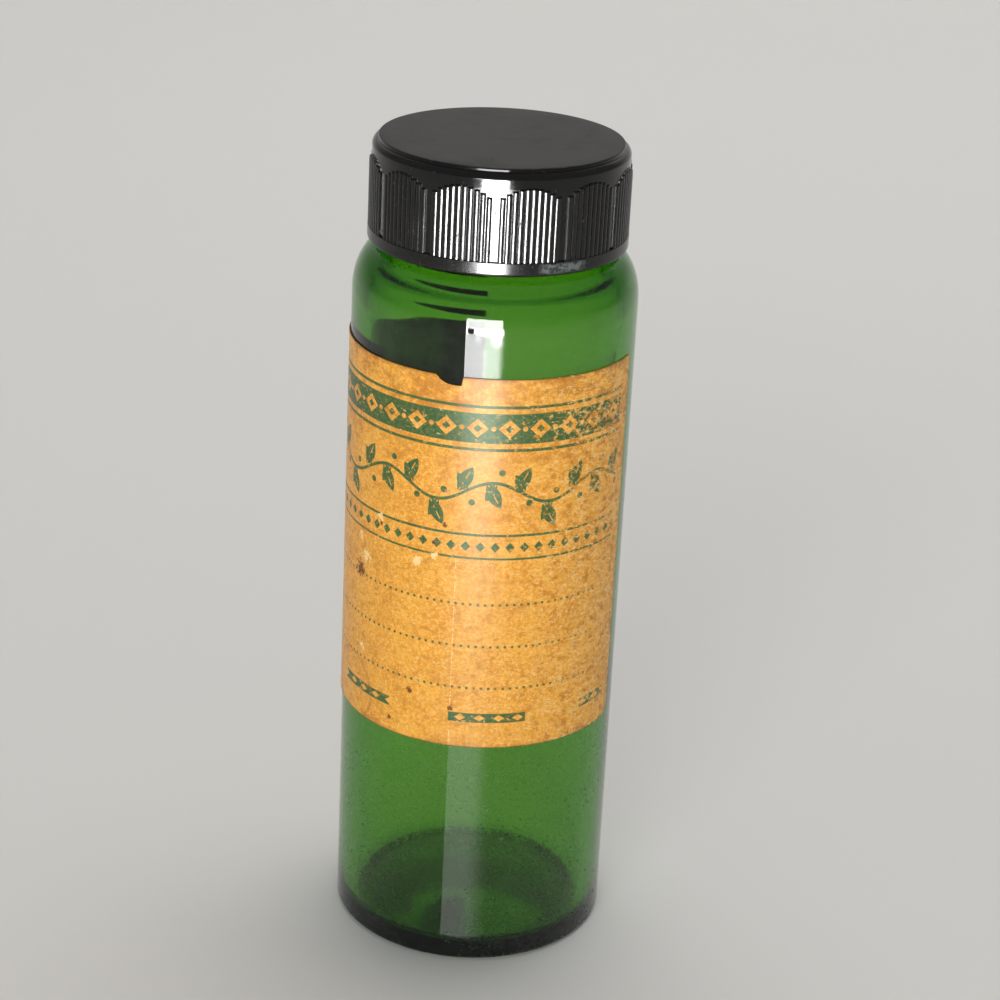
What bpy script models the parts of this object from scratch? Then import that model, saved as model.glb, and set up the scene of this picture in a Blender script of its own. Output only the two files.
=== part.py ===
"""Prescription bottle: moulded glass with a screw neck, a paper label and a ribbed screw cap with a liner.

The bottle stands on z = 0 with its axis on Z. The front is towards -Y, and places round the axis are
angles from the front line, positive towards +X.
"""

import math

import bmesh
import bpy

MM = 0.001
TURN = 2 * math.pi
HALF_TURN = math.pi
QUARTER_TURN = math.pi / 2

# Glass body
BODY_RADIUS = 16.75 * MM
BODY_HEIGHT = 81.1 * MM  # floor to the foot of the shoulder
SHOULDER_RISE = 5.9 * MM
GLASS_WALL = 2.2 * MM
INNER_SHOULDER_DROP = 1.9 * MM  # thickens the wall a little round the shoulder
HEEL_RADIUS = 0.9 * MM
REST_RING_WIDTH = 4.5 * MM
PUSH_UP_HEIGHT = 2.2 * MM
BASE_THICKNESS = 1.4 * MM
INNER_HEEL_RADIUS = 1.8 * MM
INNER_DOME_HEIGHT = 2.4 * MM

# Neck finish, a 28 mm single start screw with six threads to the inch
NECK_RADIUS = 12.6 * MM
NECK_WALL = 2.2 * MM
FINISH_HEIGHT = 9.45 * MM  # top of the shoulder to the lip
LIP_ROUND = 0.5 * MM
THREAD_PITCH = 4.233 * MM
THREAD_DEPTH = 1.1 * MM
THREAD_BASE_WIDTH = 2.2 * MM
THREAD_CREST_WIDTH = 1.0 * MM
THREAD_TOP_DROP = 1.2 * MM  # lip to the upper edge of the thread
THREAD_TURNS = 1.1

# Paper label
LABEL_WRAP_SHARE = 0.683  # of the way round the body
LABEL_RIGHT_SHARE = 0.2846  # of its width, to the right of the front line
LABEL_HEIGHT = 46.3 * MM
LABEL_THICKNESS = 0.12 * MM
LABEL_TOP_MARGIN = 5.1 * MM  # foot of the shoulder to the upper edge
LABEL_CORNER = 1.2 * MM  # rubbed lower right corner
NOTCH_WIDTH = 3.2 * MM
NOTCH_DEPTH = 1.1 * MM
NOTCH_RIGHT_REACH = -2.95 * MM  # front line to the right side of the notch

# Cap
CAP_WALL = 0.9 * MM
CAP_TOP_THICKNESS = 1.3 * MM
CAP_THREAD_BASE_WIDTH = 1.5 * MM
CAP_THREAD_CREST_WIDTH = 0.7 * MM
CAP_THREAD_RIM_GAP = 0.5 * MM  # rim to the lower edge of the thread
CAP_THREAD_TURNS = 1.0
DISC_INSET = 0.72 * MM  # plain wall to the side of the raised top disc
DISC_STEP = 0.48 * MM
DISC_EDGE = 0.2 * MM
WALL_DROP = 1.17 * MM  # top of the cap to the plain wall
BAND_HEIGHT = 1.65 * MM
BAND_PROUD = 0.3 * MM
RIM_ROUND = 0.35 * MM
INNER_RIM_BEVEL = 0.25 * MM
RIB_PROUD = 0.27 * MM
RIB_TOP_DROP = 2.0 * MM  # top of the cap to the tallest ribs
RIB_ARCH_DROP = 1.1 * MM  # how much shorter the ribs beside a land are
RIB_TOP_SLOPE = 0.3 * MM
PANELS = 12
RIBS_PER_PANEL = 10
LAND_SHARE = 0.19  # of a panel's turn, between its last rib and the next panel's first
RIB_WIDTH_SHARE = 0.76  # of the ribs' spacing
RIB_CREST_WIDTH_SHARE = 0.5  # of a rib's width
FIRST_LAND_ANGLE = math.radians(-1)

# Liner
BACKING_THICKNESS = 0.9 * MM
FACING_THICKNESS = 0.15 * MM

# Clearances
SEAT_GAP = 0.2 * MM  # lip to facing, facing to backing, backing to cap
LABEL_GAP = 0.1 * MM
RIM_GAP = 0.3 * MM  # top of the shoulder to the rim of the cap
THREAD_CLEARANCE = 0.25 * MM
LINER_CLEARANCE = 0.25 * MM
SINK = 0.2 * MM  # how far ribs and threads run into the wall that carries them
MERGE_DISTANCE = 0.001 * MM

# Facets
BOTTLE_SEGMENTS = 60
CAP_SEGMENTS = 72
LINER_SEGMENTS = 48
LABEL_STEPS = 50
RUN_OUT_STEPS = 4  # over which a thread rises from its wall
SHARP_ANGLE = math.radians(35)

# Shares of the torn notch's width and depth, from its left end to its right side
NOTCH_OUTLINE_SHARES = ((0.0, 0.0), (0.15, 0.5), (0.4, 0.85), (0.7, 1.0), (0.94, 0.92), (1.0, 0.0))

SHOULDER_TOP = BODY_HEIGHT + SHOULDER_RISE
LIP_HEIGHT = SHOULDER_TOP + FINISH_HEIGHT
THREAD_TOP = LIP_HEIGHT - THREAD_TOP_DROP - THREAD_BASE_WIDTH / 2
THREAD_BOTTOM = THREAD_TOP - THREAD_PITCH * THREAD_TURNS

LABEL_INNER_RADIUS = BODY_RADIUS + LABEL_GAP
LABEL_WIDTH = TURN * LABEL_INNER_RADIUS * LABEL_WRAP_SHARE
LABEL_RIGHT_REACH = LABEL_WIDTH * LABEL_RIGHT_SHARE

CAP_INNER_RADIUS = NECK_RADIUS + THREAD_DEPTH + THREAD_CLEARANCE
CAP_RADIUS = CAP_INNER_RADIUS + CAP_WALL
CAP_THREAD_CREST_RADIUS = NECK_RADIUS + THREAD_CLEARANCE
LINER_RADIUS = CAP_INNER_RADIUS - LINER_CLEARANCE
FACING_BOTTOM = LIP_HEIGHT + SEAT_GAP
BACKING_BOTTOM = FACING_BOTTOM + FACING_THICKNESS + SEAT_GAP
CAP_CEILING = BACKING_BOTTOM + BACKING_THICKNESS + SEAT_GAP
RIM_HEIGHT = SHOULDER_TOP + RIM_GAP
CAP_HEIGHT = CAP_CEILING + CAP_TOP_THICKNESS - RIM_HEIGHT


def clear_scene():
    for obj in list(bpy.data.objects):
        bpy.data.objects.remove(obj, do_unlink=True)


def material(name, colour, roughness, transmission=0.0):
    mat = bpy.data.materials.new(name)
    mat.use_nodes = True
    shader = mat.node_tree.nodes["Principled BSDF"]
    shader.inputs["Base Color"].default_value = (*colour, 1)
    shader.inputs["Roughness"].default_value = roughness
    shader.inputs["Metallic"].default_value = 0
    shader.inputs["Transmission Weight"].default_value = transmission
    mat.diffuse_color = (*colour, 1)
    return mat


def add_object(name, bm, mat=None):
    """Turns the bmesh into a smooth shaded object with its normals facing out."""
    bmesh.ops.recalc_face_normals(bm, faces=bm.faces)
    mesh = bpy.data.meshes.new(name)
    bm.to_mesh(mesh)
    bm.free()
    mesh.shade_smooth()
    mesh.set_sharp_from_angle(angle=SHARP_ANGLE)
    if mat:
        mesh.materials.append(mat)
    obj = bpy.data.objects.new(name, mesh)
    bpy.context.scene.collection.objects.link(obj)
    return obj


def add_helper(name, bm):
    obj = add_object(name, bm)
    obj.hide_render = True
    obj.display_type = "WIRE"
    return obj


def join_shape(obj, helper):
    """Adds the helper's body to the object and keeps the two as one solid."""
    helper.parent = obj
    boolean = obj.modifiers.new(helper.name, "BOOLEAN")
    boolean.operation = "UNION"
    boolean.solver = "EXACT"
    boolean.object = helper


def arc(centre, radii, start, end, steps):
    """Points on an ellipse's arc, as (radius, height), both ends included."""
    angles = [start + (end - start) * i / steps for i in range(steps + 1)]
    return [(centre[0] + radii[0] * math.cos(a), centre[1] + radii[1] * math.sin(a)) for a in angles]


def dome(radius, foot, rise, steps):
    """Points from the axis out along a shallow dome, without its foot."""
    shares = [i / steps for i in range(steps)]
    return [(radius * share, foot + rise * (1 - share**2)) for share in shares]


def lathe(outline, segments):
    """Spins an outline that starts and ends on the axis into a closed body."""
    bm = bmesh.new()
    verts = [bm.verts.new((radius, 0, height)) for radius, height in outline]
    edges = [bm.edges.new(pair) for pair in zip(verts, verts[1:])]
    bmesh.ops.spin(
        bm,
        geom=verts + edges,
        cent=(0, 0, 0),
        axis=(0, 0, 1),
        angle=TURN,
        steps=segments,
        use_merge=True,
    )
    bmesh.ops.remove_doubles(bm, verts=bm.verts, dist=MERGE_DISTANCE)
    return bm


def bridge_sections(bm, sections):
    """Skins a row of like sections, each a closed loop of points, and closes both ends."""
    rings = [[bm.verts.new(point) for point in section] for section in sections]
    count = len(rings[0])
    for ring, following in zip(rings, rings[1:]):
        for i in range(count):
            j = (i + 1) % count
            bm.faces.new((ring[i], ring[j], following[j], following[i]))
    bm.faces.new(rings[0])
    bm.faces.new(reversed(rings[-1]))


def around(radius, angle, height):
    """The point at an angle from the front line."""
    return (radius * math.sin(angle), -radius * math.cos(angle), height)


def thread_ridge(wall_radius, crest_radius, base_width, crest_width, bottom, turns, segments, start):
    """A right hand thread that rises from a wall, out of it or into its bore, and runs out at both ends."""
    outward = math.copysign(1, crest_radius - wall_radius)
    depth = abs(crest_radius - wall_radius)
    root_radius = wall_radius - outward * SINK
    hidden_radius = wall_radius - outward * SINK / 2
    root_half = (base_width + (base_width - crest_width) * SINK / depth) / 2
    crest_half = crest_width / 2
    steps = round(turns * segments)
    sections = []
    for i in range(steps + 1):
        rise_share = min(1, i / RUN_OUT_STEPS, (steps - i) / RUN_OUT_STEPS)
        crest = hidden_radius + (crest_radius - hidden_radius) * rise_share
        angle = start + TURN * (i + 0.5) / segments
        height = bottom + THREAD_PITCH * i / segments
        sections.append(
            (
                around(root_radius, angle, height - root_half),
                around(crest, angle, height - crest_half),
                around(crest, angle, height + crest_half),
                around(root_radius, angle, height + root_half),
            )
        )
    bm = bmesh.new()
    bridge_sections(bm, sections)
    return bm


def bottle_outline():
    rest_outer = BODY_RADIUS - HEEL_RADIUS
    rest_inner = rest_outer - REST_RING_WIDTH
    bore = NECK_RADIUS - NECK_WALL
    inside = BODY_RADIUS - GLASS_WALL
    floor_radius = inside - INNER_HEEL_RADIUS
    inner_shoulder = BODY_HEIGHT - INNER_SHOULDER_DROP
    points = dome(rest_inner, 0, PUSH_UP_HEIGHT, 3)
    points += [(rest_inner, 0)]
    points += arc((rest_outer, HEEL_RADIUS), (HEEL_RADIUS, HEEL_RADIUS), -QUARTER_TURN, 0, 3)
    shoulder_radii = (BODY_RADIUS - NECK_RADIUS, SHOULDER_RISE)
    points += arc((NECK_RADIUS, BODY_HEIGHT), shoulder_radii, 0, QUARTER_TURN, 7)
    lip_low = LIP_HEIGHT - LIP_ROUND
    points += arc((NECK_RADIUS - LIP_ROUND, lip_low), (LIP_ROUND, LIP_ROUND), 0, QUARTER_TURN, 2)
    points += arc((bore + LIP_ROUND, lip_low), (LIP_ROUND, LIP_ROUND), QUARTER_TURN, HALF_TURN, 2)
    points += arc((bore, inner_shoulder), (inside - bore, SHOULDER_RISE), QUARTER_TURN, 0, 6)
    heel_centre = (floor_radius, BASE_THICKNESS + INNER_HEEL_RADIUS)
    points += arc(heel_centre, (INNER_HEEL_RADIUS, INNER_HEEL_RADIUS), 0, -QUARTER_TURN, 3)
    points += reversed(dome(floor_radius, BASE_THICKNESS, INNER_DOME_HEIGHT, 4))
    return points


def build_bottle():
    glass = material("green_glass", (0.12, 0.32, 0.06), 0.05, transmission=1.0)
    bottle = add_object("glass_bottle", lathe(bottle_outline(), BOTTLE_SEGMENTS), glass)
    ridge = thread_ridge(
        wall_radius=NECK_RADIUS,
        crest_radius=NECK_RADIUS + THREAD_DEPTH,
        base_width=THREAD_BASE_WIDTH,
        crest_width=THREAD_CREST_WIDTH,
        bottom=THREAD_BOTTOM,
        turns=THREAD_TURNS,
        segments=BOTTLE_SEGMENTS,
        start=0,
    )
    join_shape(bottle, add_helper("bottle_thread", ridge))
    return bottle


def label_columns():
    """The paper's columns from left to right, each as (place along the paper, lower edge, upper edge)."""
    top = BODY_HEIGHT - LABEL_TOP_MARGIN
    bottom = top - LABEL_HEIGHT
    left = LABEL_RIGHT_REACH - LABEL_WIDTH
    notch_left = NOTCH_RIGHT_REACH - NOTCH_WIDTH
    corner_left = LABEL_RIGHT_REACH - LABEL_CORNER
    columns = []
    for i in range(LABEL_STEPS + 1):
        place = left + LABEL_WIDTH * i / LABEL_STEPS
        if notch_left <= place <= NOTCH_RIGHT_REACH or place >= corner_left:
            continue
        columns.append((place, bottom, top))
    for across_share, down_share in NOTCH_OUTLINE_SHARES:
        columns.append((notch_left + NOTCH_WIDTH * across_share, bottom, top - NOTCH_DEPTH * down_share))
    columns.append((corner_left, bottom, top))
    columns.append((LABEL_RIGHT_REACH, bottom + LABEL_CORNER, top))
    return sorted(columns)


def build_label(bottle):
    inner = LABEL_INNER_RADIUS
    outer = inner + LABEL_THICKNESS
    sections = []
    for place, bottom, top in label_columns():
        angle = place / inner
        sections.append(
            (
                around(inner, angle, bottom),
                around(outer, angle, bottom),
                around(outer, angle, top),
                around(inner, angle, top),
            )
        )
    bm = bmesh.new()
    bridge_sections(bm, sections)
    label = add_object("paper_label", bm, material("label_paper", (0.72, 0.36, 0.1), 0.8))
    label.parent = bottle
    return label


def cap_outline():
    """The cap's turned shape, with its rim at height 0."""
    band_radius = CAP_RADIUS + BAND_PROUD
    disc_radius = CAP_RADIUS - DISC_INSET
    wall_height = CAP_HEIGHT - WALL_DROP
    ceiling = CAP_CEILING - RIM_HEIGHT
    points = [(0, CAP_HEIGHT)]
    disc_centre = (disc_radius - DISC_EDGE, CAP_HEIGHT - DISC_EDGE)
    points += arc(disc_centre, (DISC_EDGE, DISC_EDGE), QUARTER_TURN, 0, 2)
    edge_radii = (DISC_INSET, WALL_DROP - DISC_STEP)
    points += arc((disc_radius, wall_height), edge_radii, QUARTER_TURN, 0, 4)
    points += [(CAP_RADIUS, BAND_HEIGHT)]
    points += [(band_radius, BAND_HEIGHT)]
    points += arc((band_radius - RIM_ROUND, RIM_ROUND), (RIM_ROUND, RIM_ROUND), 0, -QUARTER_TURN, 2)
    points += [(CAP_INNER_RADIUS + INNER_RIM_BEVEL, 0)]
    points += [(CAP_INNER_RADIUS, INNER_RIM_BEVEL)]
    points += [(CAP_INNER_RADIUS, ceiling), (0, ceiling)]
    return points


def rib_sections(angle, width, top):
    """A round backed rib from inside the band up to its sloping top."""
    root_radius = CAP_RADIUS - SINK
    tip_radius = CAP_RADIUS + RIB_PROUD
    half = width / 2 / CAP_RADIUS
    crest_half = half * RIB_CREST_WIDTH_SHARE
    heights = (BAND_HEIGHT - SINK, top - RIB_TOP_SLOPE, top)
    tips = (tip_radius, tip_radius, CAP_RADIUS - SINK / 2)
    return [
        (
            around(root_radius, angle - half, height),
            around(tip, angle - crest_half, height),
            around(tip, angle + crest_half, height),
            around(root_radius, angle + half, height),
        )
        for height, tip in zip(heights, tips)
    ]


def build_ribs():
    """Twelve panels of ribs whose tops form an arch, with a plain land between panels."""
    panel_turn = TURN / PANELS
    rib_turn = panel_turn * (1 - LAND_SHARE) / (RIBS_PER_PANEL - 1)
    width = rib_turn * CAP_RADIUS * RIB_WIDTH_SHARE
    middle = (RIBS_PER_PANEL - 1) / 2
    bm = bmesh.new()
    for panel in range(PANELS):
        panel_angle = FIRST_LAND_ANGLE + panel_turn * (panel + 0.5)
        for rib in range(RIBS_PER_PANEL):
            side_share = (rib - middle) / middle
            top = CAP_HEIGHT - RIB_TOP_DROP - RIB_ARCH_DROP * side_share**2
            bridge_sections(bm, rib_sections(panel_angle + rib_turn * (rib - middle), width, top))
    return bm


def build_cap(axis):
    black = material("black_plastic", (0.012, 0.011, 0.01), 0.25)
    cap = add_object("cap_shell", lathe(cap_outline(), CAP_SEGMENTS), black)
    cap.parent = axis
    cap.location = (0, 0, RIM_HEIGHT - LIP_HEIGHT)
    join_shape(cap, add_helper("cap_ribs", build_ribs()))
    # The cap's thread bears upwards on the underside of the bottle's, one clearance below it
    bearing_drop = (THREAD_BASE_WIDTH + CAP_THREAD_CREST_WIDTH) / 2 + THREAD_CLEARANCE
    lowest = CAP_THREAD_RIM_GAP + CAP_THREAD_BASE_WIDTH / 2
    climb = lowest + RIM_HEIGHT - (THREAD_BOTTOM - bearing_drop)
    ridge = thread_ridge(
        wall_radius=CAP_INNER_RADIUS,
        crest_radius=CAP_THREAD_CREST_RADIUS,
        base_width=CAP_THREAD_BASE_WIDTH,
        crest_width=CAP_THREAD_CREST_WIDTH,
        bottom=lowest,
        turns=CAP_THREAD_TURNS,
        segments=CAP_SEGMENTS,
        start=TURN * climb / THREAD_PITCH,
    )
    join_shape(cap, add_helper("cap_thread", ridge))
    return cap


def build_disc(name, mat, bottom, thickness, axis):
    outline = [(0, thickness), (LINER_RADIUS, thickness), (LINER_RADIUS, 0), (0, 0)]
    disc = add_object(name, lathe(outline, LINER_SEGMENTS), mat)
    disc.parent = axis
    disc.location = (0, 0, bottom - LIP_HEIGHT)
    return disc


def build_cap_axis():
    """The empty at the lip that carries everything that lifts off."""
    axis = bpy.data.objects.new("cap_axis", None)
    axis.location = (0, 0, LIP_HEIGHT)
    bpy.context.scene.collection.objects.link(axis)
    return axis


def main():
    clear_scene()
    bottle = build_bottle()
    build_label(bottle)
    axis = build_cap_axis()
    waxed_paper = material("waxed_paper", (0.8, 0.78, 0.7), 0.3)
    pulpboard = material("pulpboard", (0.55, 0.5, 0.4), 0.9)
    build_disc("liner_facing", waxed_paper, FACING_BOTTOM, FACING_THICKNESS, axis)
    build_disc("liner_backing", pulpboard, BACKING_BOTTOM, BACKING_THICKNESS, axis)
    build_cap(axis)


main()
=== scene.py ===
import functools
from math import ceil, cos, exp, pi, radians, sin

import bmesh
import bpy
from mathutils import Matrix, Vector, noise


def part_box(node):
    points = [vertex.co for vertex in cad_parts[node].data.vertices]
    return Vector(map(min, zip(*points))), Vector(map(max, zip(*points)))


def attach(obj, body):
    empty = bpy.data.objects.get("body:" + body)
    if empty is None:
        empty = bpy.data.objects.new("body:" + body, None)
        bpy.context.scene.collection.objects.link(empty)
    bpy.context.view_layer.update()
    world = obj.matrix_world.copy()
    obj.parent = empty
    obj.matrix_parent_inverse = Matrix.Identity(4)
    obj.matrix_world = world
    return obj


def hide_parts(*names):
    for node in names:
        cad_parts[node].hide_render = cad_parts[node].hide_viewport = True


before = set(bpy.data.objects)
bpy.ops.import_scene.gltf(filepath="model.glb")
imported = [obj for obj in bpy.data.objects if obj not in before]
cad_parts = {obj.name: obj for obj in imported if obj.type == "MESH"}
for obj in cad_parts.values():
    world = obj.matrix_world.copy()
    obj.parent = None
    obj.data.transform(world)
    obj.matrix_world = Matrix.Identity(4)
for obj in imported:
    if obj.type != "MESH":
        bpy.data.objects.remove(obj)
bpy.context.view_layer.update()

MM = 0.001
TURN = 2 * pi
QUARTER_TURN = pi / 2

# The camera, fitted to the outlines of the body, shoulder, cap and heel in the photograph
IMAGE_SIDE = 1000
SENSOR_WIDTH = 36.0
FOCAL_PIXELS = 2481.7
CAMERA_PITCH = radians(22.44)
CAMERA_ROLL = radians(2.847)
CAMERA_TARGET = Vector((1.765 * MM, 0, 54.57 * MM))
CAMERA_DISTANCE = 300.2 * MM
CLIP_START = 10 * MM
CLIP_END = 10

# Sizes that the frame gives
_, bottle_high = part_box("glass_bottle")
label_low, label_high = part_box("paper_label")
cap_low, cap_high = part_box("cap_shell")
facing_low, facing_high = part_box("liner_facing")
backing_low, backing_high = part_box("liner_backing")
BODY_RADIUS = bottle_high.x
LIP_HEIGHT = bottle_high.z
LABEL_BOTTOM = label_low.z
LABEL_TOP = label_high.z
RIM_HEIGHT = cap_low.z
CAP_TOP = cap_high.z
LINER_RADIUS = facing_high.x

# Glass, with the part's sizes
SHOULDER_RISE = 5.9 * MM
FINISH_HEIGHT = 9.45 * MM
SHOULDER_TOP = LIP_HEIGHT - FINISH_HEIGHT
BODY_HEIGHT = SHOULDER_TOP - SHOULDER_RISE
GLASS_WALL = 2.2 * MM
INNER_SHOULDER_DROP = 1.9 * MM
HEEL_RADIUS = 0.9 * MM
REST_RING_WIDTH = 4.5 * MM
PUSH_UP_HEIGHT = 2.2 * MM
BASE_THICKNESS = 1.4 * MM
INNER_HEEL_RADIUS = 1.8 * MM
INNER_DOME_HEIGHT = 2.4 * MM
NECK_RADIUS = 12.6 * MM
NECK_WALL = 2.2 * MM
LIP_ROUND = 0.5 * MM
THREAD_PITCH = 4.233 * MM
THREAD_DEPTH = 1.1 * MM
THREAD_BASE_WIDTH = 2.2 * MM
THREAD_TOP_DROP = 1.2 * MM
THREAD_TURNS = 1.1

# Glass, finer forms than the part's
NECK_FILLET = 0.5 * MM
THREAD_RUN_OUT = radians(24)
THREAD_STEEPNESS = 1.8
SHOULDER_RINGS = (  # height, bulge and width of the soft rings inside the glass
    (83.9 * MM, 0.27 * MM, 0.4 * MM),
    (82.4 * MM, 0.08 * MM, 0.35 * MM),
)
SEAM_ANGLE = radians(-10.1)
SEAM_RISE = 0.016 * MM
SEAM_HALF_WIDTH = radians(0.35)
SEAM_COLUMNS = (-3, -1.5, -0.6, 0, 0.6, 1.5, 3)  # in half widths from the seam
SEAM_CLEAR = 4  # half widths beside a seam that the even columns leave free
WALL_WAVE = 0.09 * MM
WALL_WAVE_LENGTH = 16 * MM
WALL_WAVES_ACROSS = 1.3
STIPPLE_DEPTH = 0.2 * MM
STIPPLE_LEAST_SHARE = 0.4
STIPPLE_SEED = 7
GLASS_SHARP_ANGLE = radians(70)
GLASS_COLUMNS = 192
DOME_ROWS = 10
STIPPLE_ROWS = 10
NECK_ROWS = 44

# Label, with the part's sizes
LABEL_WRAP_SHARE = 0.683
LABEL_RIGHT_SHARE = 0.2846
LABEL_THICKNESS = 0.12 * MM
LABEL_CORNER = 1.2 * MM
NOTCH_WIDTH = 3.2 * MM
NOTCH_DEPTH = 1.1 * MM
NOTCH_RIGHT_REACH = -2.95 * MM
NOTCH_OUTLINE_SHARES = ((0.0, 0.0), (0.15, 0.5), (0.4, 0.85), (0.7, 1.0), (0.94, 0.92), (1.0, 0.0))

# Label, as only the scene has it: closer to the glass, with lifted, torn edges and slight wrinkles
LABEL_GAP = 0.04 * MM
LABEL_CELL = 0.4 * MM
CORNER_STEPS = 5
EDGE_LIFT = 0.065 * MM
EDGE_LIFT_REACH = 1.5 * MM
EDGE_LIFT_PATCH = 6 * MM
EDGE_LIFT_SEED = 2
TEAR_DEPTH = 0.12 * MM
TEAR_LENGTH = 0.9 * MM
FINE_TEAR_LENGTH = 0.3 * MM
FINE_TEAR_SEED = 4
LOW_EDGE_SEED = 1
HIGH_EDGE_SEED = 2
WRINKLE_DEPTH = 0.012 * MM
WRINKLE_WIDTH = 3 * MM
WRINKLE_HEIGHT = 5 * MM
WRINKLE_SEED = 9
LABEL_RADIUS = BODY_RADIUS + LABEL_GAP
LABEL_WIDTH = TURN * LABEL_RADIUS * LABEL_WRAP_SHARE
LABEL_HEIGHT = LABEL_TOP - LABEL_BOTTOM

# Cap, with the part's sizes
CAP_WALL = 0.9 * MM
THREAD_CLEARANCE = 0.25 * MM
SEAT_GAP = 0.2 * MM
CAP_INNER_RADIUS = NECK_RADIUS + THREAD_DEPTH + THREAD_CLEARANCE
CAP_RADIUS = CAP_INNER_RADIUS + CAP_WALL
CAP_CEILING = backing_high.z + SEAT_GAP
DISC_INSET = 0.72 * MM
DISC_STEP = 0.48 * MM
DISC_EDGE = 0.2 * MM
WALL_DROP = 1.17 * MM
BAND_HEIGHT = 1.65 * MM
BAND_PROUD = 0.3 * MM
RIM_ROUND = 0.35 * MM
INNER_RIM_BEVEL = 0.25 * MM
RIB_PROUD = 0.27 * MM
RIB_TOP_DROP = 2.0 * MM
RIB_ARCH_DROP = 1.1 * MM
PANELS = 12
RIBS_PER_PANEL = 10
LAND_SHARE = 0.19
FIRST_LAND_ANGLE = radians(-1)
CAP_THREAD_TURNS = 1.0
CAP_THREAD_BASE_WIDTH = 1.5 * MM
CAP_THREAD_CREST_WIDTH = 0.7 * MM
CAP_THREAD_RIM_GAP = 0.5 * MM

# Cap, finer forms than the part's, and ribs a little wider
DISC_FILLET = 0.1 * MM
DISC_DRAFT = 0.02 * MM
DISC_SIDE_START_SHARE = 0.1
CAP_EDGE_POWER = 1.15
BAND_EDGE = 0.08 * MM
RIB_SIDE_HEIGHT = 0.183 * MM
RIB_WIDTH_SHARE = 0.86
RIB_FOOT_SHARE = 1.08
RIB_END_ROUND = 0.16 * MM
RIB_COLUMN_SHARES = (-1, -0.7, -0.35, 0, 0.35, 0.7, 1)
LAND_COLUMN_SHARES = (0.06, 0.35, 0.65, 0.94)
RIB_ROW_SHARES = (0.004, 0.25, 0.5, 0.75, 0.995, 1)
SHADING_STEP = 0.03 * MM  # a short step that keeps a round edge's shading off the wall beside it
CAP_THREAD_ROOT = 0.3 * MM
CAP_THREAD_POWER = 0.6
CAP_EDGE_ROWS = 14
RIB_END_ROWS = 5
CAP_THREAD_STEPS = 220
CAP_THREAD_POINTS = 9

# Liner
LINER_COLUMNS = 120
FACING_ROWS = 40
FACING_DENT = 0.05 * MM
BACKING_ROWS = 10
BACKING_EDGE = 0.12 * MM
BACKING_ROUGHNESS = 0.02 * MM

SHARP_ANGLE = radians(45)


def around(radius, angle, height):
    """The point at an angle from the front line, positive towards +X."""
    return (radius * sin(angle), -radius * cos(angle), height)


def smooth_step(share):
    share = min(1, max(0, share))
    return share * share * (3 - 2 * share)


def arc(centre, radii, start, end, steps):
    """Points of an arc whose start and end are in quarter turns. Both radii may be given as one."""
    across, up = radii if isinstance(radii, tuple) else (radii, radii)
    angles = [QUARTER_TURN * (start + (end - start) * i / steps) for i in range(steps + 1)]
    return [(centre[0] + across * cos(a), centre[1] + up * sin(a)) for a in angles]


def run(start, end, steps):
    """Points from start towards end, without the first."""
    return [
        (start[0] + (end[0] - start[0]) * i / steps, start[1] + (end[1] - start[1]) * i / steps)
        for i in range(1, steps + 1)
    ]


def add_object(name, data):
    added = bpy.data.objects.new(name, data)
    bpy.context.scene.collection.objects.link(added)
    return added


def mesh_piece(name, verts, faces, body, slot, node, sharp_angle=SHARP_ANGLE):
    mesh = bpy.data.meshes.new(name)
    mesh.from_pydata(verts, [], faces)
    bm = bmesh.new()
    bm.from_mesh(mesh)
    bmesh.ops.recalc_face_normals(bm, faces=bm.faces)
    bm.to_mesh(mesh)
    bm.free()
    mesh.shade_smooth()
    mesh.set_sharp_from_angle(angle=sharp_angle)
    piece = add_object(name, mesh)
    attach(piece, body)
    if node:
        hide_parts(node)
    return piece


def level_ring(radius, height, angles):
    return [around(radius, angle, height) for angle in angles]


def polar_skin(rings):
    """Vertices and faces of a closed skin through rings of like length; a ring of one point is a pole."""
    verts = []
    starts = []
    for ring in rings:
        starts.append(len(verts))
        verts += ring
    faces = []
    for row, (ring, following) in enumerate(zip(rings, rings[1:])):
        start = starts[row]
        next_start = starts[row + 1]
        count = max(len(ring), len(following))
        for i in range(count):
            j = (i + 1) % count
            if len(ring) == 1:
                faces.append((start, next_start + j, next_start + i))
            elif len(following) == 1:
                faces.append((start + i, start + j, next_start))
            else:
                faces.append((start + i, start + j, next_start + j, next_start + i))
    return verts, faces


# Glass bottle


def glass_angles():
    """Even columns round the bottle, with closer ones at the two mould seams."""
    angles = [TURN * i / GLASS_COLUMNS - pi for i in range(GLASS_COLUMNS)]
    for seam in (SEAM_ANGLE, SEAM_ANGLE + pi):
        near = [seam + SEAM_HALF_WIDTH * step for step in SEAM_COLUMNS]
        angles = [a for a in angles if abs(a - seam) > SEAM_CLEAR * SEAM_HALF_WIDTH] + near
    return sorted(angles)


def seam_rise(angle, _):
    rise = 0
    for seam in (SEAM_ANGLE, SEAM_ANGLE + pi):
        rise += SEAM_RISE * exp(-(((angle - seam) / SEAM_HALF_WIDTH) ** 2))
    return rise


def thread_rise(angle, height):
    """How far the right hand thread stands out of the neck at this place."""
    top = LIP_HEIGHT - THREAD_TOP_DROP - THREAD_BASE_WIDTH / 2
    bottom = top - THREAD_PITCH * THREAD_TURNS
    start = angle % TURN
    rise = 0
    for turn in range(ceil(THREAD_TURNS)):
        along = start + TURN * turn
        if along > TURN * THREAD_TURNS:
            continue
        centre = bottom + THREAD_PITCH * along / TURN
        fade = min(along, TURN * THREAD_TURNS - along) / THREAD_RUN_OUT
        across = 1 - abs(height - centre) / (THREAD_BASE_WIDTH / 2)
        rise = max(rise, THREAD_DEPTH * smooth_step(fade) * smooth_step(across * THREAD_STEEPNESS))
    return rise


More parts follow.
